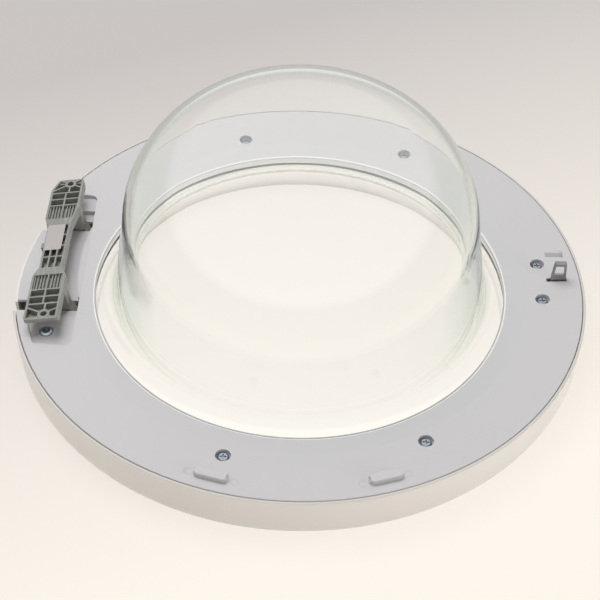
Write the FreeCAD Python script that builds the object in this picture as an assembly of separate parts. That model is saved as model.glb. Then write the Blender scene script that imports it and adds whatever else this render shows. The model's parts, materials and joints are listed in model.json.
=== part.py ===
import FreeCAD, Part
import math
import os
from FreeCAD import Vector

# A porthole door lying on its front face: Z points to the drum, X to the latch, and the hinge is at -X.
# All sizes are millimetres and degrees.

# Glass bowl
OPENING_R = 171.6        # clear radius inside the rear lip
GLASS_T = 5.0
FLANGE_OVERLAP = 7.5     # flange held beyond the clear opening
BOWL_GAP = 16.1          # wall inside the clear opening, at the flange
BOWL_DRAFT = 8.2
BOWL_FOOT_ROUND = 15.0
BOWL_RISE = 119.0        # centre of the base above the rear rim
BOWL_TILT = 10.0         # slope of the base, higher at the top of the door
BOWL_CORNER = 46.0       # outer rounding between wall and base

# Gasket under the flange
GASKET_T = 1.2
GASKET_WALL = 2.0
GASKET_GAP = 0.15        # room round the flange edge

# Ring frames
DEPTH = 42.0             # front face to rear rim
SKIRT_WALL = 2.2
FRONT_WALL = 2.4
SKIRT_DRAFT = 2.0
FRONT_ROUND = 14.0
INNER_EDGE_ROUND = 1.8
SKIRT_LIP_CHAMFER = 0.7
REAR_EDGE_ROUND = 0.8
GLASS_LIP_ROUND = 1.2
CREASE_ROUND = 8.7
RIM_STEP = 0.4           # outer lip below the rear rim
SEAM = 0.6               # open joint between the two frames
REAR_WALL = 2.4
LIP_DROP = 6.0           # glass lip below the rear rim
LIP_HEIGHT = 7.4
CREASE_INSET = 17.4      # crease of the dished face outside the lip
CREASE_DROP = 3.4
REAR_FLANGE = 8.0        # depth of the turned-down outer edge
SUPPORT_RIBS = 12
SUPPORT_RIB_T = 2.0
SUPPORT_RIB_REACH = 9.0

# Screws and their wells
SCREW_RING = 27.4        # frame screws outside the lip
FRAME_SCREW_ANGLES = (60.9, 105.8, -105.8, -60.9)
WELL_R = 6.0
WELL_DROP = 6.6          # seat of the screw heads below the rear rim
SCREW_HEAD_R = 4.75
SCREW_HEAD_H = 2.6
SCREW_RIM_H = 1.3
SCREW_CROWN_R = 3.3
SCREW_SHANK_R = 2.1
SCREW_LENGTH = 16.0
SCREW_GAP = 0.4          # clearance hole round the shank
PILOT_GAP = 0.05
POST_WALL = 2.6
CROSS_WIDTH = 1.2
CROSS_LENGTH = 5.2
CROSS_DEPTH = 1.5

# Raised pads on the rear face
PAD_ANGLES = (-106.2, -72.8)
PAD_INSET = 16.0         # pad centre inside the rim
PAD_LENGTH = 27.0
PAD_WIDTH = 8.6
PAD_RISE = 4.0           # above the rear rim
PAD_ROUND = 1.4
DIP_HALF = 3.4
DIP_DEPTH = 1.1
DIP_GAP = 0.8            # pad to dip

# Hinge
PIVOT_INSET = 21.5       # hinge axis inside the rim
PIVOT_FLOOR = 11.1       # hinge axis above the inside of the front wall
PIN_R = 2.4
PIN_RUNNING_GAP = 0.06
PIN_SEAT_GAP = 0.02
PIN_CHAMFER = 0.5
BAY_GAP = 0.3            # arms to gasket
GOOSENECK_R = 28.2       # hollow of the gooseneck
ARM_T = 6.4
ARM_WIDTH = 11.0
ARM_MID_Y = 20.0
ARM_SPREAD = 50.0        # each arm from the middle
ARM_GAP = 0.6
EYE_R = 5.0
ARM_HEEL = -12.0         # angles along the arm, about the hinge axis
ARM_SWELL = 10.0
ARM_THROAT = 22.0
ARM_BEND = 36.0
ARM_NECK = 50.0
PLATE_MID_Y = 17.0
PLATE_LENGTH = 175.0
PLATE_WIDTH = 27.5
PLATE_T = 8.0
PLATE_REACH = 30.0       # inboard edge of the plate from the hinge axis
PLATE_FLOOR = 2.4
PLATE_RIM = 1.8
PLATE_RIB = 1.4
PLATE_ROUND = 2.5
PLATE_CUT_LENGTH = 13.0  # cut corner at the upper end
PLATE_CUT_WIDTH = 5.5
TIP_T = 2.6              # ends thinned from below
TIP_LENGTH = 4.4
TIP_POCKET = 1.6
WAIST_HALF = 26.5        # half length of the narrow middle
WAIST_OUT = 4.0          # step on the outboard side
WAIST_IN = 4.0           # step on the inboard side
STEP_LENGTH = 9.0
TAPER_LENGTH = 23.0
HOLE_R = 2.75
HOLE_END = 5.75          # holes from the plate's ends
HOLE_INBOARD = 2.3       # holes inboard of the plate's middle
HOLE_BOSS_WALL = 2.2
STAR_RIBS = 6
STAR_ZONE = 17.0         # screw pocket measured from the plate end
WAIST_COLUMNS = 3
WAIST_ROWS = 4
END_ROWS = (7.0, 7.0)    # deep pockets next to the screw pocket
PANEL_DEPTH = 3.4
PANEL_RIDGES = 4
PANEL_RIDGE_T = 0.9
PANEL_RIDGE_DROP = 1.0
TAB_LENGTH = 6.0
TAB_REACH = 3.5
TAB_T = 5.0
TAB_Y = 5.0
REST_SWING = 8.0         # stored pose, swung open from the closed door
SWING_GAP = 0.7          # plate to the rim as it swings
SLOT_END_GAP = 4.5
NOTCH_DEPTH = 9.0
NOTCH_HALF = 66.0
NOTCH_SAG = 5.5          # inner wall bowed outwards between the arms
BAY_DEPTH = 5.0          # shallow bay round the hinge
BAY_END_LOW = 18.0       # bay ends beyond the hinge screws
BAY_END_HIGH = 10.0
BAY_ROUND = 6.0
BAY_RIM = 8.0            # rim left standing outside the bay
CHEEK_T = 3.5
CHEEK_SPREAD = 4.0
HINGE_SCREW_LOW = 18.0   # hinge screws beyond the ends of the notch
HINGE_SCREW_HIGH = 8.0
HINGE_SCREW_INSET = 34.0

# Latch
LATCH_Y = 5.0            # middle of the hook
LATCH_SCREW_MID = 3.5    # middle of the latch screws
HOOK_INSET = 20.75       # hook centre inside the rim
HOOK_WIDTH = 12.8        # at the rear rim
HOOK_TOP_WIDTH = 9.6
HOOK_T = 2.4
HOOK_RISE = 18.5         # above the rear rim
HOOK_ROUND = 1.4
HOOK_NOSE = 2.0          # top edge folded forwards
HOOK_BAR = 2.4           # bar above the window
HOOK_RAIL = 1.5          # rails beside the window
WINDOW_HEIGHT = 11.2
HOOK_TILT = 6.0
HOOK_EYE_R = 5.2
HOOK_SLOT_GAP = 0.8
LATCH_PIN_R = 2.0
LATCH_PIN_FLOOR = 17.6   # pin above the inside of the front wall
LATCH_SIDE_GAP = 0.4
LATCH_SCREW_SPREAD = 21.5
LATCH_SCREW_INSET = 36.0
CARRIER_FLOOR = 5.6      # underside above the inside of the front wall
CARRIER_WALL = 3.0
SPRING_WIRE_R = 0.5
SPRING_COIL_R = 3.4
SPRING_PITCH = 1.15
SPRING_TURNS = 3
SPRING_GAP = 0.1
MARK_LENGTH = 15.0
MARK_WIDTH = 7.6
MARK_DEPTH = 1.3
MARK_Y = 36.5

# Finger grip in the skirt at the latch
GRIP_HALF_ANGLE = 11.0
GRIP_DEPTH = 8.5
GRIP_LOW = 10.0
GRIP_HIGH = 29.0
GRIP_ROUND = 3.0

# Sizes that follow
BEYOND = 1.0
Z_AXIS = Vector(0, 0, 1)
Y_AXIS = Vector(0, 1, 0)
ARM_REACH = GOOSENECK_R + ARM_T
BOWL_FOOT_R = OPENING_R - BOWL_GAP
FLANGE_R = OPENING_R + FLANGE_OVERLAP
GASKET_R = FLANGE_R + GASKET_GAP + GASKET_WALL
RIM_R = GASKET_R + BAY_GAP + ARM_REACH + PIVOT_INSET
SKIRT_IN_R = RIM_R - SKIRT_WALL
REAR_R = SKIRT_IN_R - SEAM
FOOT_R = RIM_R - DEPTH * math.tan(math.radians(SKIRT_DRAFT))
LIP_TOP = DEPTH - LIP_DROP
FLANGE_TOP = LIP_TOP - LIP_HEIGHT
FLANGE_BASE = FLANGE_TOP - GLASS_T
COLLAR_TOP = FLANGE_BASE - GASKET_T
COLLAR_R = OPENING_R + REAR_WALL
REAR_FLANGE_Z = DEPTH - REAR_FLANGE
WELL_FLOOR = DEPTH - WELL_DROP
WELL_BASE = WELL_FLOOR - REAR_WALL
POST_R = SCREW_SHANK_R + PILOT_GAP + POST_WALL
PIVOT_X = PIVOT_INSET - RIM_R
PIVOT_Z = FRONT_WALL + PIVOT_FLOOR
PIVOT = Vector(PIVOT_X, 0, PIVOT_Z)
NOTCH_LOW = ARM_MID_Y - NOTCH_HALF
NOTCH_HIGH = ARM_MID_Y + NOTCH_HALF
NOTCH_X = PIVOT_X + PLATE_REACH + SLOT_END_GAP
NOTCH_Z = DEPTH - NOTCH_DEPTH
BAY_Z = DEPTH - BAY_DEPTH
RIM_AT_NOTCH = math.sqrt(RIM_R**2 - NOTCH_LOW**2)
PLATE_STANDOFF = math.hypot(RIM_AT_NOTCH + PIVOT_X, DEPTH - PIVOT_Z) + SWING_GAP
PLATE_X = PIVOT_X + PLATE_REACH - PLATE_WIDTH
PLATE_Z = PIVOT_Z + PLATE_STANDOFF
PLATE_TOP = PLATE_Z + PLATE_T
HOLE_X = PLATE_X + PLATE_WIDTH / 2 + HOLE_INBOARD
HOLE_SPACING = PLATE_LENGTH - 2 * HOLE_END
ARM_YS = (ARM_MID_Y - ARM_SPREAD, ARM_MID_Y + ARM_SPREAD)
HOOK_X = RIM_R - HOOK_INSET
HOOK_TOP = DEPTH + HOOK_RISE
LATCH_PIN_Z = FRONT_WALL + LATCH_PIN_FLOOR
CARRIER_Z = FRONT_WALL + CARRIER_FLOOR
SPRING_LENGTH = SPRING_PITCH * SPRING_TURNS + 2 * SPRING_WIRE_R
SPRING_Y = LATCH_Y + HOOK_T / 2 + LATCH_SIDE_GAP


def polar(radius, angle):
    """Point in the XY plane at an angle in degrees."""
    turn = math.radians(angle)
    return Vector(radius * math.cos(turn), radius * math.sin(turn), 0)


FRAME_SCREWS = [polar(OPENING_R + SCREW_RING, angle) for angle in FRAME_SCREW_ANGLES]
LATCH_SCREW_YS = (LATCH_SCREW_MID - LATCH_SCREW_SPREAD, LATCH_SCREW_MID + LATCH_SCREW_SPREAD)
LATCH_SCREWS = [Vector(RIM_R - LATCH_SCREW_INSET, y, 0) for y in LATCH_SCREW_YS]
HINGE_SCREW_YS = (NOTCH_LOW - HINGE_SCREW_LOW, NOTCH_HIGH + HINGE_SCREW_HIGH)
HINGE_SCREWS = [Vector(HINGE_SCREW_INSET - RIM_R, y, 0) for y in HINGE_SCREW_YS]
ALL_SCREWS = FRAME_SCREWS + LATCH_SCREWS + HINGE_SCREWS


def rounded_wire(corners, place):
    """Closed outline through (a, b, radius) corners, where place puts a flat point in space."""
    flat = [Vector(a, b, 0) for a, b, radius in corners]
    pieces = []
    for i, (a, b, radius) in enumerate(corners):
        corner = flat[i]
        before = (flat[i - 1] - corner).normalize()
        after = (flat[(i + 1) % len(flat)] - corner).normalize()
        half = before.getAngle(after) / 2
        reach = radius / math.tan(half)
        middle = corner + (before + after).normalize() * (radius / math.sin(half) - radius)
        pieces.append((corner + before * reach, middle, corner + after * reach, radius))
    edges = []
    for i, (start, middle, end, radius) in enumerate(pieces):
        following = pieces[(i + 1) % len(pieces)][0]
        if radius > 0:
            edges.append(Part.Arc(place(start), place(middle), place(end)).toShape())
        if end.distanceToPoint(following) > 1e-6:
            edges.append(Part.LineSegment(place(end), place(following)).toShape())
    return Part.Wire(edges)


def turned(corners):
    """Solid of revolution about Z from (radius, z, rounding) corners."""
    outline = rounded_wire(corners, lambda p: Vector(p.x, 0, p.y))
    return Part.Face(outline).revolve(Vector(), Z_AXIS, 360)


def along_y(corners, start, width):
    """Prism along Y from (x, z, rounding) corners."""
    outline = rounded_wire(corners, lambda p: Vector(p.x, start, p.y))
    return Part.Face(outline).extrude(Y_AXIS * width)


def along_z(corners, start, height):
    """Prism along Z from (x, y, rounding) corners."""
    outline = rounded_wire(corners, lambda p: Vector(p.x, p.y, start))
    return Part.Face(outline).extrude(Z_AXIS * height)


def block(low, high):
    """Box between two corners."""
    size = high - low
    return Part.makeBox(size.x, size.y, size.z, low)


def post(radius, centre, low, high):
    """Upright cylinder."""
    return Part.makeCylinder(radius, high - low, Vector(centre.x, centre.y, low))


def pin_along_y(radius, x, z, low, high):
    """Cylinder along Y."""
    return Part.makeCylinder(radius, high - low, Vector(x, low, z), Y_AXIS)


def stadium(length, width, start, height):
    """Upright prism with round ends, its length along Y and its middle on the Z axis."""
    half = width / 2
    straight = length / 2
    rounding = min(half, straight)
    corners = [(-half, -straight, rounding), (half, -straight, rounding)]
    corners += [(half, straight, rounding), (-half, straight, rounding)]
    return along_z(corners, start, height)


def at_angle(shape, radius, angle):
    """Copy of a shape built about the Z axis, carried out to a radius and turned to face along it."""
    moved = shape.copy()
    moved.translate(Vector(radius, 0, 0))
    moved.rotate(Vector(), Z_AXIS, angle)
    return moved


def single(shape):
    """The one solid of a boolean result, with merged faces."""
    clean = shape.removeSplitter()
    return clean.Solids[0]


def outer_contour():
    """Outside of the front ring, from the opening round the front edge to the rear lip."""
    return [
        (OPENING_R, 0, INNER_EDGE_ROUND),
        (FOOT_R, 0, FRONT_ROUND),
        (RIM_R, DEPTH - RIM_STEP - SKIRT_LIP_CHAMFER, 0),
        (RIM_R - SKIRT_LIP_CHAMFER, DEPTH - RIM_STEP, 0),
    ]


def outer_frame():
    """Front ring: skirt, front face and glass collar, with posts, support ribs and a finger grip."""
    skin = turned(outer_contour() + [
        (SKIRT_IN_R, DEPTH - RIM_STEP, 0),
        (FOOT_R - SKIRT_WALL, FRONT_WALL, FRONT_ROUND - FRONT_WALL),
        (COLLAR_R, FRONT_WALL, 0),
        (COLLAR_R, COLLAR_TOP, 0),
        (OPENING_R, COLLAR_TOP, 0),
    ])
    body = turned(outer_contour() + [(OPENING_R, DEPTH - RIM_STEP, 0)])
    inside = [post(POST_R, centre, FRONT_WALL / 2, WELL_BASE) for centre in FRAME_SCREWS + HINGE_SCREWS]
    inside += support_ribs()
    inside.append(grip_form(SKIRT_WALL))
    ring = skin.multiFuse([piece.common(body) for piece in inside])
    pilots = [
        post(SCREW_SHANK_R + PILOT_GAP, centre, FRONT_WALL, WELL_BASE + BEYOND)
        for centre in FRAME_SCREWS + HINGE_SCREWS
    ]
    notch = block(Vector(-RIM_R - BEYOND, NOTCH_LOW, NOTCH_Z - REAR_WALL), Vector(PIVOT_X, NOTCH_HIGH, DEPTH))
    slots = [arm_slot(y, PIVOT_Z - EYE_R - ARM_GAP) for y in ARM_YS]
    return single(ring.cut(pilots + slots + [notch, grip_form(0)]))


def support_ribs():
    """Radial ribs inside the skirt that carry the rear frame's edge, clear of the hinge."""
    ribs = []
    for i in range(SUPPORT_RIBS):
        angle = 360 * (i + 0.5) / SUPPORT_RIBS
        foot = polar(RIM_R, angle)
        if foot.x < 0 and NOTCH_LOW < foot.y < NOTCH_HIGH:
            continue
        rib = block(
            Vector(REAR_R - SUPPORT_RIB_REACH, -SUPPORT_RIB_T / 2, FRONT_WALL / 2),
            Vector(RIM_R, SUPPORT_RIB_T / 2, REAR_FLANGE_Z),
        )
        rib.rotate(Vector(), Z_AXIS, angle)
        ribs.append(rib)
    return ribs


def grip_form(wall):
    """Finger grip hollow beside the latch, grown by a wall."""
    spare = math.degrees(wall / RIM_R)
    half = GRIP_HALF_ANGLE + spare
    corners = [
        (RIM_R - GRIP_DEPTH - wall, GRIP_LOW - wall, GRIP_ROUND),
        (RIM_R + BEYOND, GRIP_LOW - wall, 0),
        (RIM_R + BEYOND, GRIP_HIGH + wall, 0),
        (RIM_R - GRIP_DEPTH - wall, GRIP_HIGH + wall, GRIP_ROUND),
    ]
    outline = rounded_wire(corners, lambda p: Vector(p.x, 0, p.y))
    hollow = Part.Face(outline).revolve(Vector(), Z_AXIS, 2 * half)
    hollow.rotate(Vector(), Z_AXIS, -half)
    return hollow


def arm_slot(y, low):
    """Room for one hinge arm, from the bay's inner wall out through the skirt."""
    half = ARM_WIDTH / 2 + ARM_GAP
    return block(Vector(-RIM_R - BEYOND, y - half, low), Vector(NOTCH_X, y + half, DEPTH + BEYOND))


def rear_face():
    """Visible face of the rear ring, from its outer edge over the crease to the glass lip."""
    return [
        (REAR_R, DEPTH, REAR_EDGE_ROUND),
        (OPENING_R + CREASE_INSET, DEPTH - CREASE_DROP, CREASE_ROUND),
        (OPENING_R, LIP_TOP, GLASS_LIP_ROUND),
    ]


def face_z(radius):
    """Height of the rear face outside its crease."""
    share = (REAR_R - radius) / (REAR_R - OPENING_R - CREASE_INSET)
    return DEPTH - CREASE_DROP * share


def inner_frame():
    """Rear ring: dished face, glass lip, screw wells, pads, hook slot and hinge bay."""
    skin = turned(rear_face() + [
        (OPENING_R, FLANGE_TOP, 0),
        (COLLAR_R, FLANGE_TOP, 0),
        (COLLAR_R, LIP_TOP - REAR_WALL, 0),
        (OPENING_R + CREASE_INSET, DEPTH - CREASE_DROP - REAR_WALL, 0),
        (REAR_R - REAR_WALL, DEPTH - REAR_WALL, 0),
        (REAR_R - REAR_WALL, REAR_FLANGE_Z, 0),
        (REAR_R, REAR_FLANGE_Z, 0),
    ])
    body = turned(rear_face() + [(OPENING_R, FRONT_WALL, 0), (REAR_R, FRONT_WALL, 0)])
    wells = [post(WELL_R + REAR_WALL, centre, WELL_BASE, DEPTH) for centre in ALL_SCREWS]
    trays = [bay_form(REAR_WALL), notch_form(REAR_WALL)]
    ring = skin.multiFuse([piece.common(body) for piece in wells + trays + hinge_cheeks()] + pads())
    cuts = [bay_form(0), notch_form(0), hook_slot(), marking_recess()]
    cuts += [arm_slot(y, NOTCH_Z - REAR_WALL - BEYOND) for y in ARM_YS]
    cuts += [post(WELL_R, centre, WELL_FLOOR, DEPTH + BEYOND) for centre in ALL_SCREWS]
    cuts += [post(SCREW_SHANK_R + SCREW_GAP, centre, WELL_BASE - BEYOND, DEPTH) for centre in ALL_SCREWS]
    cuts.append(pin_along_y(PIN_R + PIN_SEAT_GAP, PIVOT_X, PIVOT_Z, -RIM_R, RIM_R))
    cuts += pad_dips()
    return single(ring.cut(cuts))


def bay_form(wall):
    """Shallow bay round the hinge, grown by a wall."""
    low = min(HINGE_SCREW_YS) - BAY_END_LOW - wall
    high = max(HINGE_SCREW_YS) + BAY_END_HIGH + wall
    inner = NOTCH_X + wall
    corners = [(-RIM_R, low, 0), (inner, low, BAY_ROUND), (inner, high, BAY_ROUND), (-RIM_R, high, 0)]
    floor = BAY_Z - wall
    return along_z(corners, floor, DEPTH - floor).common(post(REAR_R - BAY_RIM + wall, Vector(), 0, DEPTH))


def notch_form(wall):
    """Deep notch under the plate, open to the outside, grown by a wall."""
    floor = NOTCH_Z - wall
    room = block(
        Vector(-RIM_R, NOTCH_LOW - wall, floor),
        Vector(NOTCH_X + wall, NOTCH_HIGH + wall, DEPTH),
    )
    bow = (ARM_SPREAD**2 + NOTCH_SAG**2) / (2 * NOTCH_SAG)
    centre = Vector(NOTCH_X - NOTCH_SAG + bow, ARM_MID_Y, 0)
    return room.cut(post(bow - wall, centre, 0, DEPTH))


def hinge_cheeks():
    """Bearing plates under the notch floor, one on each side of each arm."""
    top = NOTCH_Z - REAR_WALL / 2
    corners = [
        (PIVOT_X - EYE_R, top, 0),
        (PIVOT_X - EYE_R, PIVOT_Z - EYE_R, EYE_R),
        (PIVOT_X + EYE_R, PIVOT_Z - EYE_R, EYE_R),
        (PIVOT_X + EYE_R + CHEEK_SPREAD, top, 0),
    ]
    offset = ARM_WIDTH / 2 + ARM_GAP
    starts = [y + offset for y in ARM_YS] + [y - offset - CHEEK_T for y in ARM_YS]
    inside = post(REAR_R - SEAM, Vector(), 0, DEPTH)
    return [along_y(corners, start, CHEEK_T).common(inside) for start in starts]


def pads():
    """Two raised pads on the rear face."""
    top = DEPTH + PAD_RISE
    pad = stadium(PAD_LENGTH, PAD_WIDTH, DEPTH - REAR_WALL, top - DEPTH + REAR_WALL)
    crown = [edge for edge in pad.Edges if edge.BoundBox.ZMin > top - BEYOND / 2]
    pad = pad.makeFillet(PAD_ROUND, crown)
    return [at_angle(pad, RIM_R - PAD_INSET, angle) for angle in PAD_ANGLES]


def scoop_radius(half, depth):
    """Radius of a round scoop from its half width and its depth."""
    return (half**2 + depth**2) / (2 * depth)


def pad_dips():
    """Round scoop at each end of each pad."""
    radius = scoop_radius(DIP_HALF, DIP_DEPTH)
    centre = RIM_R - PAD_INSET
    scoop = Part.makeSphere(radius, Vector(0, 0, face_z(centre) + radius - DIP_DEPTH))
    offset = PAD_LENGTH / 2 + DIP_GAP + DIP_HALF
    dips = []
    for angle in PAD_ANGLES:
        for side in (-1, 1):
            dip = scoop.copy()
            dip.translate(Vector(0, side * offset, 0))
            dips.append(at_angle(dip, centre, angle))
    return dips


def hook_slot():
    """Slot for the hook, with room inboard for its tilt."""
    tilt_room = (DEPTH - LATCH_PIN_Z) * math.sin(math.radians(HOOK_TILT)) + HOOK_SLOT_GAP
    half = HOOK_T / 2 + HOOK_SLOT_GAP
    return block(
        Vector(HOOK_X - HOOK_WIDTH / 2 - tilt_room, LATCH_Y - half, REAR_FLANGE_Z),
        Vector(HOOK_X + HOOK_WIDTH / 2 + HOOK_SLOT_GAP, LATCH_Y + half, DEPTH + BEYOND),
    )


def marking_recess():
    """Oblong scoop beside the hook."""
    radius = scoop_radius(MARK_WIDTH / 2, MARK_DEPTH)
    z = face_z(math.hypot(HOOK_X, MARK_Y)) + radius - MARK_DEPTH
    start = Vector(HOOK_X - MARK_LENGTH / 2, MARK_Y, z)
    return Part.makeCylinder(radius, MARK_LENGTH, start, Vector(1, 0, 0))


def bowl_form(wall):
    """Outside of the bowl, or its hollow when a wall is taken off, down to the flange."""
    inset = wall / math.cos(math.radians(BOWL_DRAFT))
    slope = math.tan(math.radians(BOWL_DRAFT))
    base = FLANGE_TOP - wall
    peak = DEPTH + BOWL_RISE + OPENING_R
    foot = BOWL_FOOT_R - inset + wall * slope
    low = base - BEYOND if wall else FLANGE_BASE
    flange = FLANGE_R + BEYOND if wall else FLANGE_R
    form = turned([
        (0, low, 0),
        (flange, low, 0),
        (flange, base, 0),
        (foot, base, BOWL_FOOT_ROUND + wall),
        (foot - (peak - base) * slope, peak, 0),
        (0, peak, 0),
    ])
    reach = 2 * OPENING_R
    top = DEPTH + BOWL_RISE - wall / math.cos(math.radians(BOWL_TILT))
    above = block(Vector(-reach, -reach, top), Vector(reach, reach, top + reach))
    above.rotate(Vector(0, 0, top), Vector(1, 0, 0), BOWL_TILT)
    form = form.cut(above)
    rim = [edge for edge in form.Edges if edge.BoundBox.ZMax > top and edge.BoundBox.XLength > OPENING_R]
    return form.makeFillet(BOWL_CORNER - wall, rim)


def door_glass():
    """Pressed glass bowl with its flange and sloping base."""
    return single(bowl_form(0).cut(bowl_form(GLASS_T)))


def glass_gasket():
    """Rubber seat under the flange, turned up round its edge."""
    return turned([
        (OPENING_R, COLLAR_TOP, 0),
        (GASKET_R, COLLAR_TOP, 0),
        (GASKET_R, FLANGE_BASE + GLASS_T / 2, 0),
        (FLANGE_R + GASKET_GAP, FLANGE_BASE + GLASS_T / 2, 0),
        (FLANGE_R + GASKET_GAP, FLANGE_BASE, 0),
        (OPENING_R, FLANGE_BASE, 0),
    ])


def plate_outline():
    """Plan of the hinge plate: two broad ends, a narrow waist and one cut corner."""
    outboard = PLATE_X
    inboard = PLATE_X + PLATE_WIDTH
    low = PLATE_MID_Y - PLATE_LENGTH / 2
    high = PLATE_MID_Y + PLATE_LENGTH / 2
    waist_low = PLATE_MID_Y - WAIST_HALF
    waist_high = PLATE_MID_Y + WAIST_HALF
    return [
        (outboard, low, PLATE_ROUND),
        (inboard, low, PLATE_ROUND),
        (inboard, waist_low - STEP_LENGTH, PLATE_ROUND),
        (inboard - WAIST_IN, waist_low, PLATE_ROUND),
        (inboard - WAIST_IN, waist_high, PLATE_ROUND),
        (inboard, waist_high + TAPER_LENGTH, PLATE_ROUND),
        (inboard, high, PLATE_ROUND),
        (outboard + PLATE_CUT_WIDTH, high, PLATE_ROUND),
        (outboard, high - PLATE_CUT_LENGTH, PLATE_ROUND),
        (outboard, waist_high + STEP_LENGTH, PLATE_ROUND),
        (outboard + WAIST_OUT, waist_high, PLATE_ROUND),
        (outboard + WAIST_OUT, waist_low, PLATE_ROUND),
        (outboard, waist_low - STEP_LENGTH, PLATE_ROUND),
    ]


def pocket(x_low, x_high, y_low, y_high, depth):
    """Pocket sunk from the plate's ribbed face."""
    return block(Vector(x_low, y_low, PLATE_TOP - depth), Vector(x_high, y_high, PLATE_TOP + BEYOND))


def spans(low, high, count, rib):
    """Equal bays between two ends, with a rib between neighbours."""
    width = (high - low - rib * (count - 1)) / count
    return [(low + i * (width + rib), low + i * (width + rib) + width) for i in range(count)]


def waist_pockets():
    """Square cells along the waist."""
    deep = PLATE_T - PLATE_FLOOR
    x_low = PLATE_X + WAIST_OUT + PLATE_RIM
    x_high = PLATE_X + PLATE_WIDTH - WAIST_IN - PLATE_RIM
    y_low = PLATE_MID_Y - WAIST_HALF
    y_high = PLATE_MID_Y + WAIST_HALF
    columns = spans(x_low, x_high, WAIST_COLUMNS, PLATE_RIB)
    rows = spans(y_low, y_high, WAIST_ROWS, PLATE_RIB)
    return [pocket(*column, *row, deep) for column in columns for row in rows]


def end_pockets(side):
    """Screw pocket, deep cells and finely ridged panels of one end of the plate."""
    deep = PLATE_T - PLATE_FLOOR

    def row(near, far, depth, columns):
        ys = sorted((PLATE_MID_Y + side * near, PLATE_MID_Y + side * far))
        edges = spans(PLATE_X, PLATE_X + PLATE_WIDTH, columns, PLATE_RIB)
        return [pocket(*edge, *ys, depth) for edge in edges]

    far = PLATE_LENGTH / 2
    near = far - STAR_ZONE
    star = row(near, far - TIP_LENGTH, deep, 1)[0].fuse(row(near, far, TIP_POCKET, 1)[0])
    hole = Vector(HOLE_X, PLATE_MID_Y + side * HOLE_SPACING / 2, 0)
    keep = [post(HOLE_R + HOLE_BOSS_WALL, hole, PLATE_Z, PLATE_TOP)]
    for i in range(STAR_RIBS // 2):
        rib = block(
            Vector(-PLATE_WIDTH, -PLATE_RIB / 2, PLATE_Z),
            Vector(PLATE_WIDTH, PLATE_RIB / 2, PLATE_TOP),
        )
        rib.rotate(Vector(), Z_AXIS, 360 * (i + 0.5) / STAR_RIBS)
        rib.translate(hole)
        keep.append(rib)
    pockets = [star.cut(keep)]
    for length in END_ROWS:
        far = near - PLATE_RIB
        near = far - length
        pockets += row(near, far, deep, 2)
    panel_far = near - PLATE_RIB
    panel_near = WAIST_HALF + STEP_LENGTH
    for panel in row(panel_near, panel_far, PANEL_DEPTH, 2):
        pockets.append(panel.cut(panel_ridges(panel)))
    return pockets


def panel_ridges(panel):
    """Fine ridges left standing along a shallow panel."""
    box = panel.BoundBox
    pitch = box.XLength / (PANEL_RIDGES + 1)
    ridges = []
    for i in range(PANEL_RIDGES):
        x = box.XMin + pitch * (i + 1)
        ridges.append(block(
            Vector(x - PANEL_RIDGE_T / 2, box.YMin, box.ZMin),
            Vector(x + PANEL_RIDGE_T / 2, box.YMax, PLATE_TOP - PANEL_RIDGE_DROP),
        ))
    return ridges


def thinned_tip(side):
    """Wedge taken from under one end of the plate."""
    tip = PLATE_MID_Y + side * PLATE_LENGTH / 2
    corners = [
        (tip, PLATE_Z),
        (tip - side * TIP_LENGTH, PLATE_Z),
        (tip, PLATE_TOP - TIP_T),
    ]
    points = [Vector(PLATE_X, y, z) for y, z in corners]
    wedge = Part.Face(Part.makePolygon(points + points[:1]))
    return wedge.extrude(Vector(PLATE_WIDTH, 0, 0))


def arm_outline():
    """Side view of one gooseneck arm, from the pin eye round to the plate, about the hinge axis."""
    face_z = math.sqrt(ARM_REACH**2 - PLATE_REACH**2)
    heel = polar(ARM_REACH, ARM_HEEL)
    swell = polar(ARM_REACH, ARM_SWELL)
    throat = polar(GOOSENECK_R, ARM_THROAT)
    bend = polar(GOOSENECK_R, ARM_BEND)
    neck = polar(GOOSENECK_R, ARM_NECK)
    root = PLATE_REACH - 2 * ARM_T

    def at(x, z):
        return Vector(PIVOT_X + x, 0, PIVOT_Z + z)

    top = PLATE_STANDOFF + PLATE_FLOOR / 2
    edges = [
        Part.LineSegment(at(0, -EYE_R), at(heel.x, heel.y)),
        Part.Arc(at(heel.x, heel.y), at(swell.x, swell.y), at(PLATE_REACH, face_z)),
        Part.LineSegment(at(PLATE_REACH, face_z), at(PLATE_REACH, top)),
        Part.LineSegment(at(PLATE_REACH, top), at(root, top)),
        Part.LineSegment(at(root, top), at(neck.x, neck.y)),
        Part.Arc(at(neck.x, neck.y), at(bend.x, bend.y), at(throat.x, throat.y)),
        Part.LineSegment(at(throat.x, throat.y), at(0, EYE_R)),
        Part.Arc(at(0, EYE_R), at(-EYE_R, 0), at(0, -EYE_R)),
    ]
    return Part.Wire([edge.toShape() for edge in edges])


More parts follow.
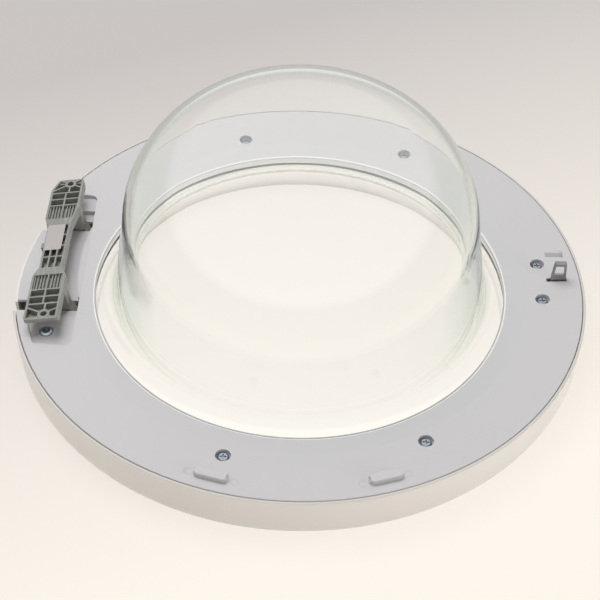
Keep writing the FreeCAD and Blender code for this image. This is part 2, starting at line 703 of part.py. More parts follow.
def hinge_bracket():
    """Ribbed hinge plate with its two arms, stored swung a little open."""
    outline = plate_outline()
    plate = along_z(outline, PLATE_Z, PLATE_T)
    flat = Part.Face(rounded_wire(outline, lambda p: Vector(p.x, p.y, PLATE_Z)))
    inset = flat.makeOffset2D(-PLATE_RIM).extrude(Z_AXIS * (PLATE_T + BEYOND))
    pockets = waist_pockets() + end_pockets(-1) + end_pockets(1)
    plate = plate.cut([piece.common(inset) for piece in pockets])
    arm = Part.Face(arm_outline()).extrude(Y_AXIS * ARM_WIDTH)
    arms = []
    for y in ARM_YS:
        placed = arm.copy()
        placed.translate(Y_AXIS * (y - ARM_WIDTH / 2))
        arms.append(placed)
    tab = block(
        Vector(PLATE_X + WAIST_OUT - TAB_REACH, PLATE_MID_Y + TAB_Y - TAB_LENGTH / 2, PLATE_Z),
        Vector(PLATE_X + WAIST_OUT + PLATE_RIM, PLATE_MID_Y + TAB_Y + TAB_LENGTH / 2, PLATE_Z + TAB_T),
    )
    bracket = plate.cut([thinned_tip(-1), thinned_tip(1)]).multiFuse(arms + [tab])
    centres = [Vector(HOLE_X, PLATE_MID_Y + side * HOLE_SPACING / 2, 0) for side in (-1, 1)]
    holes = [post(HOLE_R, centre, PLATE_Z - BEYOND, PLATE_TOP + BEYOND) for centre in centres]
    bore = pin_along_y(PIN_R + PIN_RUNNING_GAP, PIVOT_X, PIVOT_Z, -RIM_R, RIM_R)
    bracket = single(bracket.cut(holes + [bore]))
    bracket.rotate(PIVOT, -Y_AXIS, REST_SWING)
    return bracket


def hinge_pin():
    """Steel pin through both arms and their cheeks."""
    reach = ARM_SPREAD + ARM_WIDTH / 2 + ARM_GAP + CHEEK_T
    pin = pin_along_y(PIN_R, PIVOT_X, PIVOT_Z, ARM_MID_Y - reach, ARM_MID_Y + reach)
    ends = [edge for edge in pin.Edges if edge.BoundBox.YLength < PIN_R / 10]
    return pin.makeChamfer(PIN_CHAMFER, ends)


def latch_hook():
    """Metal hook with a window, its top edge folded forwards and its eye on the latch pin."""
    half = HOOK_WIDTH / 2
    top_half = HOOK_TOP_WIDTH / 2
    shoulder = WELL_BASE
    front = LATCH_Y - HOOK_T / 2
    corners = [
        (HOOK_X - HOOK_EYE_R, LATCH_PIN_Z - HOOK_EYE_R, HOOK_EYE_R),
        (HOOK_X + HOOK_EYE_R, LATCH_PIN_Z - HOOK_EYE_R, HOOK_EYE_R),
        (HOOK_X + HOOK_EYE_R, LATCH_PIN_Z + HOOK_EYE_R / 2, HOOK_ROUND),
        (HOOK_X + half, shoulder, HOOK_ROUND),
        (HOOK_X + half, DEPTH, HOOK_ROUND),
        (HOOK_X + top_half, HOOK_TOP, HOOK_ROUND),
        (HOOK_X - top_half, HOOK_TOP, HOOK_ROUND),
        (HOOK_X - half, DEPTH, HOOK_ROUND),
        (HOOK_X - half, shoulder, HOOK_ROUND),
        (HOOK_X - HOOK_EYE_R, LATCH_PIN_Z + HOOK_EYE_R / 2, HOOK_ROUND),
    ]
    plate = along_y(corners, front, HOOK_T)
    nose_corners = [
        (HOOK_X - top_half, HOOK_TOP, HOOK_ROUND),
        (HOOK_X + top_half, HOOK_TOP, HOOK_ROUND),
        (HOOK_X + top_half, HOOK_TOP - HOOK_BAR, 0),
        (HOOK_X - top_half, HOOK_TOP - HOOK_BAR, 0),
    ]
    nose = along_y(nose_corners, front - HOOK_NOSE, HOOK_NOSE + HOOK_T / 2)
    window_top = HOOK_TOP - HOOK_BAR
    window_low = window_top - WINDOW_HEIGHT
    window_half = top_half - HOOK_RAIL
    window_foot = window_half + WINDOW_HEIGHT * (half - top_half) / HOOK_RISE
    window_corners = [
        (HOOK_X - window_foot, window_low, HOOK_ROUND / 2),
        (HOOK_X + window_foot, window_low, HOOK_ROUND / 2),
        (HOOK_X + window_half, window_top, HOOK_ROUND / 2),
        (HOOK_X - window_half, window_top, HOOK_ROUND / 2),
    ]
    window = along_y(window_corners, front - BEYOND, HOOK_T + 2 * BEYOND)
    bore = pin_along_y(LATCH_PIN_R + PIN_RUNNING_GAP, HOOK_X, LATCH_PIN_Z, -RIM_R, RIM_R)
    return single(plate.fuse(nose).cut([window, bore]))


def cheek_faces():
    """Y of the inner faces of the latch carrier's cheeks."""
    low = LATCH_Y - HOOK_T / 2 - LATCH_SIDE_GAP
    return low, SPRING_Y + SPRING_LENGTH + LATCH_SIDE_GAP


def latch_carrier():
    """Moulded block behind the latch screws, with two cheeks for the latch pin."""
    low, high = cheek_faces()
    screw_x = RIM_R - LATCH_SCREW_INSET
    end_x = HOOK_X + HOOK_EYE_R
    floor_top = CARRIER_Z + CARRIER_WALL
    back = screw_x - POST_R
    floor = block(
        Vector(back, LATCH_SCREW_YS[0], CARRIER_Z),
        Vector(end_x, LATCH_SCREW_YS[1], floor_top),
    )
    spine = block(
        Vector(screw_x - CARRIER_WALL / 2, LATCH_SCREW_YS[0], CARRIER_Z),
        Vector(screw_x + CARRIER_WALL / 2, LATCH_SCREW_YS[1], LATCH_PIN_Z + HOOK_EYE_R),
    )
    corners = [
        (screw_x, CARRIER_Z, 0),
        (end_x, CARRIER_Z, 0),
        (end_x, LATCH_PIN_Z + HOOK_EYE_R, HOOK_EYE_R),
        (screw_x, LATCH_PIN_Z + HOOK_EYE_R, 0),
    ]
    cheeks = [along_y(corners, low - CARRIER_WALL, CARRIER_WALL), along_y(corners, high, CARRIER_WALL)]
    bosses = [post(POST_R, centre, CARRIER_Z, WELL_BASE) for centre in LATCH_SCREWS]
    holes = [
        post(SCREW_SHANK_R + PILOT_GAP, centre, floor_top, WELL_BASE + BEYOND)
        for centre in LATCH_SCREWS
    ]
    holes.append(pin_along_y(LATCH_PIN_R + PIN_SEAT_GAP, HOOK_X, LATCH_PIN_Z, -RIM_R, RIM_R))
    return single(floor.multiFuse([spine] + cheeks + bosses).cut(holes))


def latch_pin():
    """Steel pin of the hook, flush with the carrier's cheeks."""
    low, high = cheek_faces()
    return pin_along_y(LATCH_PIN_R, HOOK_X, LATCH_PIN_Z, low - CARRIER_WALL, high + CARRIER_WALL)


def latch_spring():
    """Torsion spring on the latch pin, one leg up beside the hook and one on the carrier floor."""
    height = SPRING_PITCH * SPRING_TURNS
    path = Part.makeHelix(SPRING_PITCH, height, SPRING_COIL_R)
    section = Part.Wire(Part.makeCircle(SPRING_WIRE_R, Vector(SPRING_COIL_R, 0, 0), Y_AXIS))
    coil = Part.Wire(path.Edges).makePipeShell([section], True, True)
    leg = LATCH_PIN_Z - SPRING_WIRE_R - SPRING_GAP - CARRIER_Z - CARRIER_WALL
    legs = []
    for z, direction in ((0, -1), (height, 1)):
        start = Vector(SPRING_COIL_R, 0, z)
        legs.append(Part.makeCylinder(SPRING_WIRE_R, leg, start, Vector(0, direction, 0)))
    spring = coil.multiFuse(legs)
    spring.rotate(Vector(), Vector(1, 0, 0), -90)
    spring.rotate(Vector(), Y_AXIS, 180)
    spring.translate(Vector(HOOK_X, SPRING_Y + SPRING_WIRE_R, LATCH_PIN_Z))
    return spring.Solids[0]


def screw(centre):
    """Pan head screw with a cross recess, seated in its well."""
    head_top = WELL_FLOOR + SCREW_HEAD_H
    body = turned([
        (0, WELL_FLOOR - SCREW_LENGTH, 0),
        (SCREW_SHANK_R / 2, WELL_FLOOR - SCREW_LENGTH, 0),
        (SCREW_SHANK_R, WELL_FLOOR - SCREW_LENGTH + SCREW_SHANK_R, 0),
        (SCREW_SHANK_R, WELL_FLOOR, 0),
        (SCREW_HEAD_R, WELL_FLOOR, 0),
        (SCREW_HEAD_R, WELL_FLOOR + SCREW_RIM_H, 0),
        (SCREW_CROWN_R, head_top, 0),
        (0, head_top, 0),
    ])
    half = Vector(CROSS_LENGTH / 2, CROSS_WIDTH / 2, 0)
    arm = block(Vector(-half.x, -half.y, head_top - CROSS_DEPTH), Vector(half.x, half.y, head_top + BEYOND))
    other = arm.copy()
    other.rotate(Vector(), Z_AXIS, 90)
    body = body.cut([arm, other])
    body.translate(centre)
    return single(body)


def screw_group(centres):
    """One group of separate screws."""
    return Part.makeCompound([screw(centre) for centre in centres])


def main():
    nodes = {
        "outer_frame": outer_frame(),
        "inner_frame": inner_frame(),
        "door_glass": door_glass(),
        "glass_gasket": glass_gasket(),
        "hinge_bracket": hinge_bracket(),
        "hinge_pin": hinge_pin(),
        "latch_hook": latch_hook(),
        "latch_carrier": latch_carrier(),
        "latch_pin": latch_pin(),
        "latch_spring": latch_spring(),
        "frame_screws": screw_group(FRAME_SCREWS),
        "latch_screws": screw_group(LATCH_SCREWS),
        "hinge_screws": screw_group(HINGE_SCREWS),
    }
    os.makedirs("parts", exist_ok=True)
    for name, shape in nodes.items():
        shape.exportStep(f"parts/{name}.step")
        print(name, len(shape.Solids), shape.isValid(), round(shape.Volume), shape.BoundBox)


main()
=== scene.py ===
"""A round washing machine door lying on its front face: finishes, glass bowl, trim, studio and camera."""

import json
import logging
import math
from dataclasses import dataclass, field
from enum import Enum

import bmesh
import bpy
from mathutils import Matrix, Vector


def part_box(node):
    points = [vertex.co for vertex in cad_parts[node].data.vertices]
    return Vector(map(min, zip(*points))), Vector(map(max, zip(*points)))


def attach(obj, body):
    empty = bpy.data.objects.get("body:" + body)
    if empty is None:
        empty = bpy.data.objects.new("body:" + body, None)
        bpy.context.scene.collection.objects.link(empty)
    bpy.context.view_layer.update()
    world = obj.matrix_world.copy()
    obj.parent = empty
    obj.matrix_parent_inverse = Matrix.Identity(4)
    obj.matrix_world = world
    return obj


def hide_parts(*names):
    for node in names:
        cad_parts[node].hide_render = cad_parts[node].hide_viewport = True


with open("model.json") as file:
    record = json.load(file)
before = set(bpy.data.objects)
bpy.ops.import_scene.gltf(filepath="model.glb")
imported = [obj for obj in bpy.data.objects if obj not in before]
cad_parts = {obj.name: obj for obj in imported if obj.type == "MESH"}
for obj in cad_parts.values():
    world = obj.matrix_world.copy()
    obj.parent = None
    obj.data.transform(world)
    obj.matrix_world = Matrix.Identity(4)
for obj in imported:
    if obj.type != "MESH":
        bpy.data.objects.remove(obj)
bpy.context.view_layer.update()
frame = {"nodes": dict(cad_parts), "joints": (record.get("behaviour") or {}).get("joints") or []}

LOG = logging.getLogger("washing_machine_door")
MILLIMETRE = 0.001
SRGB_KNEE = 0.04045
SRGB_SLOPE = 12.92
SRGB_OFFSET = 0.055
SRGB_POWER = 2.4
ROUND_PROFILE = 0.5
PLATE_CORNER_SEGMENTS = 4
Triple = tuple[float, float, float]
Colour = tuple[float, float, float]


class Body(Enum):
    """Rigid bodies that the scene's own pieces ride on."""

    DOOR = "door"
    HINGE = "hinge"


class Effect(Enum):
    """Shared surface effects, each one shader node group."""

    TONE_DRIFT = "tone_drift"
    MOULDED_GRAIN = "moulded_grain"
    FLOW_STREAKS = "flow_streaks"


class SocketKind(Enum):
    """Kinds of sockets on a node group."""

    NUMBER = "NodeSocketFloat"
    COLOUR = "NodeSocketColor"
    VECTOR = "NodeSocketVector"


def linear(colour: Colour) -> tuple[float, float, float, float]:
    """Turn a screen colour into the linear colour that shaders take.

    Args:
        colour: red, green and blue from 0 to 1, as seen on a screen.

    Returns:
        The linear colour with full alpha.
    """
    channels = []
    for seen in colour:
        if seen <= SRGB_KNEE:
            channels.append(seen / SRGB_SLOPE)
        else:
            channels.append(((seen + SRGB_OFFSET) / (1.0 + SRGB_OFFSET)) ** SRGB_POWER)
    return (channels[0], channels[1], channels[2], 1.0)


class NodeSheet:
    """A node tree that is filled from left to right."""

    spacing: int = 180

    def __init__(self, tree: bpy.types.NodeTree) -> None:
        """Start an empty sheet on a tree."""
        self.tree = tree
        self.tree.nodes.clear()

    def add(self, kind: str, **settings: object) -> bpy.types.Node:
        """Add a node and set its properties.

        Args:
            kind: Blender's name of the node type.
            settings: properties of the node.

        Returns:
            The new node.
        """
        node = self.tree.nodes.new(kind)
        node.location = (self.spacing * len(self.tree.nodes), 0)
        for name, value in settings.items():
            setattr(node, name, value)
        return node

    def group(self, effect: Effect) -> bpy.types.Node:
        """Place one of the shared effects."""
        return self.add("ShaderNodeGroup", node_tree=bpy.data.node_groups[effect.value])

    def link(self, source: bpy.types.NodeSocket, target: bpy.types.NodeSocket) -> None:
        """Join an output to an input."""
        self.tree.links.new(source, target)

    def feed(self, value: bpy.types.NodeSocket | Colour | float, target: bpy.types.NodeSocket) -> None:
        """Link a changing value to an input, or set a constant on it.

        Args:
            value: an output's socket, a colour as seen on a screen, or a number.
            target: the input.
        """
        if isinstance(value, bpy.types.NodeSocket):
            self.link(value, target)
        elif isinstance(value, float):
            target.default_value = value
        else:
            target.default_value = linear(value)

    def maths(self, operation: str, first: bpy.types.NodeSocket, second: float) -> bpy.types.NodeSocket:
        """Work out a sum with a constant.

        Args:
            operation: the sum to do.
            first: the changing value.
            second: the constant.

        Returns:
            The result's socket.
        """
        node = self.add("ShaderNodeMath", operation=operation)
        self.link(first, node.inputs[0])
        node.inputs[1].default_value = second
        return node.outputs[0]

    def fade(
        self, value: bpy.types.NodeSocket, start: float, end: float, low: float = 0.0, high: float = 1.0,
    ) -> bpy.types.NodeSocket:
        """Run from a low result to a high one while a value runs from a start to an end.

        Args:
            value: the changing value.
            start: up to where the result is low.
            end: from where the result is high.
            low: the low result.
            high: the high result.

        Returns:
            The result's socket.
        """
        way = self.add("ShaderNodeMapRange")
        way.inputs["From Min"].default_value = start
        way.inputs["From Max"].default_value = end
        way.inputs["To Min"].default_value = low
        way.inputs["To Max"].default_value = high
        self.link(value, way.inputs["Value"])
        return way.outputs["Result"]

    def blend(
        self,
        share: bpy.types.NodeSocket,
        first: bpy.types.NodeSocket | Colour,
        second: bpy.types.NodeSocket | Colour,
    ) -> bpy.types.NodeSocket:
        """Blend two colours, each a changing or a constant one.

        Args:
            share: how much of the second colour there is.
            first: the colour at a share of 0.
            second: the colour at a share of 1.

        Returns:
            The blended colour's socket.
        """
        mix = self.add("ShaderNodeMix", data_type="RGBA")
        inputs = {socket.identifier: socket for socket in mix.inputs}
        self.link(share, inputs["Factor_Float"])
        self.feed(first, inputs["A_Color"])
        self.feed(second, inputs["B_Color"])
        return next(socket for socket in mix.outputs if socket.identifier == "Result_Color")

    def bumped(self, height: bpy.types.NodeSocket, strength: float, depth: float) -> bpy.types.NodeSocket:
        """Turn a height into a bumped normal.

        Args:
            height: the height, from 0 to 1.
            strength: how much of the bump shows.
            depth: how deep a height of 1 is, in metres.

        Returns:
            The normal's socket.
        """
        bump = self.add("ShaderNodeBump")
        bump.inputs["Strength"].default_value = strength
        bump.inputs["Distance"].default_value = depth
        self.link(height, bump.inputs["Height"])
        return bump.outputs["Normal"]


@dataclass(frozen=True)
class SurfaceEffects:
    """Builds the shader node groups that several finishes share."""

    drift_detail: float = 3.0
    grain_detail: float = 2.0
    streak_detail: float = 5.0
    streak_start: float = 0.5
    streak_end: float = 0.72
    noise_middle: float = 0.5

    def build(self) -> None:
        """Make each group once."""
        self.tone_drift()
        self.moulded_grain()
        self.flow_streaks()

    def start(
        self, effect: Effect, inputs: dict[str, SocketKind], outputs: dict[str, SocketKind],
    ) -> NodeSheet:
        """Open a new group with its sockets.

        Args:
            effect: which effect the group is.
            inputs: kinds of sockets by name.
            outputs: kinds of sockets by name.

        Returns:
            The group's sheet, with its input and output nodes.
        """
        tree = bpy.data.node_groups.new(effect.value, "ShaderNodeTree")
        for name, kind in inputs.items():
            tree.interface.new_socket(name, in_out="INPUT", socket_type=kind.value)
        for name, kind in outputs.items():
            tree.interface.new_socket(name, in_out="OUTPUT", socket_type=kind.value)
        sheet = NodeSheet(tree)
        sheet.add("NodeGroupInput", name="given")
        sheet.add("NodeGroupOutput", name="result")
        return sheet

    def scaled_noise(self, sheet: NodeSheet, detail: float) -> bpy.types.NodeSocket:
        """Noise whose features have the size that the group is given.

        Args:
            sheet: the group's sheet.
            detail: how many octaves the noise has.

        Returns:
            The noise value, from 0 to 1.
        """
        given = sheet.tree.nodes["given"]
        scale = sheet.add("ShaderNodeMath", operation="DIVIDE")
        scale.inputs[0].default_value = 1.0
        sheet.link(given.outputs["Size"], scale.inputs[1])
        noise = sheet.add("ShaderNodeTexNoise")
        noise.inputs["Detail"].default_value = detail
        sheet.link(given.outputs["Vector"], noise.inputs["Vector"])
        sheet.link(scale.outputs[0], noise.inputs["Scale"])
        return noise.outputs["Fac"]

    def spread(self, sheet: NodeSheet, value: bpy.types.NodeSocket, amount: str) -> bpy.types.NodeSocket:
        """Turn a value from 0 to 1 into one that swings about 0.

        Args:
            sheet: the group's sheet.
            value: the value from 0 to 1.
            amount: the group's input that says how far it swings.

        Returns:
            The swinging value's socket.
        """
        centred = sheet.maths("SUBTRACT", value, self.noise_middle)
        product = sheet.add("ShaderNodeMath", operation="MULTIPLY")
        sheet.link(centred, product.inputs[0])
        sheet.link(sheet.tree.nodes["given"].outputs[amount], product.inputs[1])
        return product.outputs[0]

    def tone_drift(self) -> None:
        """Colour that grows a little lighter and darker over the surface."""
        sockets = {
            "Vector": SocketKind.VECTOR, "Colour": SocketKind.COLOUR, "Size": SocketKind.NUMBER,
            "Amount": SocketKind.NUMBER,
        }
        sheet = self.start(Effect.TONE_DRIFT, sockets, {"Colour": SocketKind.COLOUR})
        swing = self.spread(sheet, self.scaled_noise(sheet, self.drift_detail), "Amount")
        value = sheet.maths("ADD", swing, 1.0)
        tint = sheet.add("ShaderNodeHueSaturation")
        sheet.link(sheet.tree.nodes["given"].outputs["Colour"], tint.inputs["Color"])
        sheet.link(value, tint.inputs["Value"])
        sheet.link(tint.outputs["Color"], sheet.tree.nodes["result"].inputs["Colour"])

    def moulded_grain(self) -> None:
        """Fine tool grain: a height for bump and a roughness that follows it."""
        sockets = {
            "Vector": SocketKind.VECTOR, "Size": SocketKind.NUMBER, "Roughness": SocketKind.NUMBER,
            "Amount": SocketKind.NUMBER,
        }
        results = {"Roughness": SocketKind.NUMBER, "Height": SocketKind.NUMBER}
        sheet = self.start(Effect.MOULDED_GRAIN, sockets, results)
        grain = self.scaled_noise(sheet, self.grain_detail)
        total = sheet.add("ShaderNodeMath", operation="ADD", use_clamp=True)
        sheet.link(self.spread(sheet, grain, "Amount"), total.inputs[0])
        sheet.link(sheet.tree.nodes["given"].outputs["Roughness"], total.inputs[1])
        sheet.link(total.outputs[0], sheet.tree.nodes["result"].inputs["Roughness"])
        sheet.link(grain, sheet.tree.nodes["result"].inputs["Height"])

    def flow_streaks(self) -> None:
        """Long pale streaks, as glass fibre or drawing leaves them: a mask from 0 to the amount."""
        sockets = {"Vector": SocketKind.VECTOR, "Size": SocketKind.NUMBER, "Amount": SocketKind.NUMBER}
        sheet = self.start(Effect.FLOW_STREAKS, sockets, {"Mask": SocketKind.NUMBER})
        streak = self.scaled_noise(sheet, self.streak_detail)
        product = sheet.add("ShaderNodeMath", operation="MULTIPLY")
        sheet.link(sheet.fade(streak, self.streak_start, self.streak_end), product.inputs[0])
        sheet.link(sheet.tree.nodes["given"].outputs["Amount"], product.inputs[1])
        sheet.link(product.outputs[0], sheet.tree.nodes["result"].inputs["Mask"])


@dataclass(frozen=True)
class SolidFinish:
    """An opaque finish: colour that drifts, grain in the roughness and bump, and streaks of a second colour.

    Sizes are in metres, and a streak's stretch is how much longer it is along each axis. A shaded top colour
    takes over between two heights: painted shade that makes an up-facing top darker than the same plastic
    below it.
    """

    name: str
    colour: Colour
    roughness: float
    metallic: float = 0.0
    specular: float = 0.5
    coat: float = 0.0
    coat_roughness: float = 0.12
    drift: float = 0.05
    drift_size: float = 0.06
    grain_size: float = 0.0006
    grain_spread: float = 0.12
    grain_bump: float = 0.12
    grain_depth: float = 0.00004
    streak_colour: Colour = (1.0, 1.0, 1.0)
    streak_amount: float = 0.0
    streak_size: float = 0.004
    streak_stretch: Triple = (1.0, 1.0, 1.0)
    shaded_top_colour: Colour | None = None
    shaded_top_start: float = 0.0
    shaded_top_end: float = 1.0

    def build(self) -> bpy.types.Material:
        """Make the material.

        Returns:
            A material that reads Object coordinates.
        """
        material = bpy.data.materials.new(self.name)
        material.use_nodes = True
        sheet = NodeSheet(material.node_tree)
        place = sheet.add("ShaderNodeTexCoord").outputs["Object"]
        shader = sheet.add("ShaderNodeBsdfPrincipled")
        shader.inputs["Metallic"].default_value = self.metallic
        shader.inputs["Specular IOR Level"].default_value = self.specular
        shader.inputs["Coat Weight"].default_value = self.coat
        shader.inputs["Coat Roughness"].default_value = self.coat_roughness
        sheet.link(self.coloured(sheet, place), shader.inputs["Base Color"])
        grain = sheet.group(Effect.MOULDED_GRAIN)
        grain.inputs["Size"].default_value = self.grain_size
        grain.inputs["Roughness"].default_value = self.roughness
        grain.inputs["Amount"].default_value = self.grain_spread
        sheet.link(place, grain.inputs["Vector"])
        sheet.link(grain.outputs["Roughness"], shader.inputs["Roughness"])
        normal = sheet.bumped(grain.outputs["Height"], self.grain_bump, self.grain_depth)
        sheet.link(normal, shader.inputs["Normal"])
        output = sheet.add("ShaderNodeOutputMaterial")
        sheet.link(shader.outputs["BSDF"], output.inputs["Surface"])
        return material

    def coloured(self, sheet: NodeSheet, place: bpy.types.NodeSocket) -> bpy.types.NodeSocket:
        """Build the colour of the finish.

        Args:
            sheet: the material's sheet.
            place: Object coordinates.

        Returns:
            The socket of the finished colour.
        """
        tone = sheet.group(Effect.TONE_DRIFT)
        tone.inputs["Colour"].default_value = linear(self.colour)
        tone.inputs["Size"].default_value = self.drift_size
        tone.inputs["Amount"].default_value = self.drift
        sheet.link(place, tone.inputs["Vector"])
        stretch = sheet.add("ShaderNodeMapping")
        stretch.inputs["Scale"].default_value = [1.0 / s for s in self.streak_stretch]
        sheet.link(place, stretch.inputs["Vector"])
        streaks = sheet.group(Effect.FLOW_STREAKS)
        streaks.inputs["Size"].default_value = self.streak_size
        streaks.inputs["Amount"].default_value = self.streak_amount
        sheet.link(stretch.outputs["Vector"], streaks.inputs["Vector"])
        colour = sheet.blend(streaks.outputs["Mask"], tone.outputs["Colour"], self.streak_colour)
        if self.shaded_top_colour is None:
            return colour
        # Painted shade: above the given heights the colour turns to the darker top colour.
        axes = sheet.add("ShaderNodeSeparateXYZ")
        sheet.link(place, axes.inputs["Vector"])
        share = sheet.fade(axes.outputs["Z"], self.shaded_top_start, self.shaded_top_end)
        return sheet.blend(share, colour, self.shaded_top_colour)


@dataclass(frozen=True)
class GlassFinish:
    """Clear pressed glass with a faint green body and a slow ripple left by the mould."""

    name: str
    tint: Colour
    edge_tint: Colour
    edge_start: float
    edge_end: float
    shade: Colour
    depth_tint: Colour
    depth_density: float
    ior: float
    roughness: float
    ripple_size: float
    ripple_bump: float
    ripple_depth: float
    edge_blend: float = 0.5

    def build(self) -> bpy.types.Material:
        """Make the material.

        Returns:
            Glass that lets lamps through to what lies under it.
        """
        material = bpy.data.materials.new(self.name)
        material.use_nodes = True
        sheet = NodeSheet(material.node_tree)
        place = sheet.add("ShaderNodeTexCoord").outputs["Object"]
        shader = sheet.add("ShaderNodeBsdfPrincipled")
        sheet.link(self.edge_tinted(sheet), shader.inputs["Base Color"])
        shader.inputs["Transmission Weight"].default_value = 1.0
        shader.inputs["IOR"].default_value = self.ior
        shader.inputs["Roughness"].default_value = self.roughness
        ripple = sheet.group(Effect.MOULDED_GRAIN)
        ripple.inputs["Size"].default_value = self.ripple_size
        sheet.link(place, ripple.inputs["Vector"])
        normal = sheet.bumped(ripple.outputs["Height"], self.ripple_bump, self.ripple_depth)
        sheet.link(normal, shader.inputs["Normal"])
        clear = sheet.add("ShaderNodeBsdfTransparent")
        clear.inputs["Color"].default_value = linear(self.shade)
        rays = sheet.add("ShaderNodeLightPath")
        lit = sheet.add("ShaderNodeMath", operation="MAXIMUM")
        sheet.link(rays.outputs["Is Shadow Ray"], lit.inputs[0])
        sheet.link(rays.outputs["Is Diffuse Ray"], lit.inputs[1])
        mix = sheet.add("ShaderNodeMixShader")
        sheet.link(lit.outputs[0], mix.inputs["Fac"])
        sheet.link(shader.outputs["BSDF"], mix.inputs[1])
        sheet.link(clear.outputs["BSDF"], mix.inputs[2])
        depth = sheet.add("ShaderNodeVolumeAbsorption")
        depth.inputs["Color"].default_value = linear(self.depth_tint)
        depth.inputs["Density"].default_value = self.depth_density
        output = sheet.add("ShaderNodeOutputMaterial")
        sheet.link(mix.outputs["Shader"], output.inputs["Surface"])
        sheet.link(depth.outputs["Volume"], output.inputs["Volume"])
        return material

    def edge_tinted(self, sheet: NodeSheet) -> bpy.types.NodeSocket:
        """Build the body colour, which deepens where the wall is seen edge on.

        Args:
            sheet: the material's sheet.

        Returns:
            The colour's socket.
        """
        weight = sheet.add("ShaderNodeLayerWeight")
        weight.inputs["Blend"].default_value = self.edge_blend
        share = sheet.fade(weight.outputs["Facing"], self.edge_start, self.edge_end)
        return sheet.blend(share, self.tint, self.edge_tint)


REAR_PLASTIC = SolidFinish(
    "rear_ring_plastic", (0.765, 0.759, 0.763), 0.46, coat=0.2, drift=0.03, drift_size=0.09,
)
# Painted highlight: the lip's bead is lighter and glossier than the rear ring's own plastic, so the lip's
# edge reads as a lit line.
LIP_HIGHLIGHT_PLASTIC = SolidFinish("lip_painted_highlight_plastic", (0.95, 0.945, 0.94), 0.25, coat=0.4, drift=0.02)
# Painted shade: the ring's up-facing top is given a darker colour than its upright skirt, though both are the
# same plastic.
FRONT_PLASTIC = SolidFinish(
    "front_ring_plastic", (0.885, 0.868, 0.852), 0.32, drift=0.02, coat=0.1,
    shaded_top_colour=(0.8, 0.782, 0.768), shaded_top_start=40.7 * MILLIMETRE, shaded_top_end=41.4 * MILLIMETRE,
)
HINGE_PLASTIC = SolidFinish(
    "glass_filled_plastic", (0.535, 0.535, 0.518), 0.5, drift=0.14, drift_size=0.02, grain_size=0.0009,
    grain_bump=0.3, streak_colour=(0.68, 0.68, 0.67), streak_amount=0.45, streak_size=0.0025,
    streak_stretch=(1.0, 6.0, 1.0),
)
CARRIER_PLASTIC = SolidFinish("dark_carrier_plastic", (0.2, 0.2, 0.21), 0.5)
GASKET_RUBBER = SolidFinish("seat_rubber", (0.52, 0.53, 0.52), 0.7, specular=0.3, grain_bump=0.3)
# Painted shade: a darker, rough ring that stands for the shadow line along the lip's inner edge.
LIP_SHADE_RUBBER = SolidFinish("lip_painted_shade_rubber", (0.7, 0.7, 0.69), 0.6, specular=0.3)
SCREW_ZINC = SolidFinish(
    "blue_zinc", (0.66, 0.69, 0.73), 0.3, metallic=1.0, drift=0.15, drift_size=0.003, grain_size=0.0004,
    streak_colour=(0.5, 0.52, 0.56), streak_amount=0.35, streak_size=0.002,
)
HOOK_METAL = SolidFinish(
    "cast_hook_metal", (0.6, 0.605, 0.61), 0.42, metallic=1.0, drift=0.16, drift_size=0.006,
    grain_size=0.0007, grain_bump=0.35, streak_colour=(0.42, 0.42, 0.43), streak_amount=0.3,
    streak_size=0.003,
)
PIN_STEEL = SolidFinish(
    "drawn_steel", (0.66, 0.66, 0.67), 0.28, metallic=1.0, streak_colour=(0.5, 0.5, 0.5), streak_amount=0.3,
    streak_size=0.0008, streak_stretch=(1.0, 20.0, 1.0),
)
LABEL_PAPER = SolidFinish("label_paper", (0.685, 0.66, 0.655), 0.4, drift=0.02, grain_size=0.0003)
# Painted shade: a grey darker than the rear ring, laid in the recess above the hook so that the recess reads
# shaded.
RECESS_SHADE_PLASTIC = SolidFinish("recess_painted_shade_plastic", (0.63, 0.63, 0.63), 0.5)
DOOR_GLASS = GlassFinish(
    "pressed_glass", tint=(1.0, 1.0, 1.0), edge_tint=(0.875, 0.92, 0.885), edge_start=0.5, edge_end=0.7,
    shade=(1.0, 1.0, 1.0), depth_tint=(0.76, 0.92, 0.86), depth_density=4.5, ior=1.5, roughness=0.0,
    ripple_size=0.05, ripple_bump=0.05, ripple_depth=0.0004,
)


def finish_node(node: str, material: bpy.types.Material) -> None:
    """Give a CAD node its finish.

    Args:
        node: the node's name.
        material: the finish.
    """
    thing = frame["nodes"][node]
    thing.data.materials.clear()
    thing.data.materials.append(material)
    LOG.info("%s wears %s", node, material.name)


def add_piece(
    name: str, mesh: bmesh.types.BMesh, material: bpy.types.Material, body: Body,
) -> bpy.types.Object:
    """Turn a finished bmesh into a smooth piece that rides on a body.

    Args:
        name: the piece's name.
        mesh: its shape, which is used up.
        material: its finish.
        body: what it moves with.

    Returns:
        The new object, at the origin.
    """
    bmesh.ops.recalc_face_normals(mesh, faces=mesh.faces)
    for face in mesh.faces:
        face.smooth = True
    data = bpy.data.meshes.new(name)
    mesh.to_mesh(data)
    mesh.free()
    data.materials.append(material)
    piece = bpy.data.objects.new(name, data)
    bpy.context.scene.collection.objects.link(piece)
    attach(piece, body.value)
    LOG.info("%s has %d faces and rides on %s", name, len(data.polygons), body.value)
    return piece


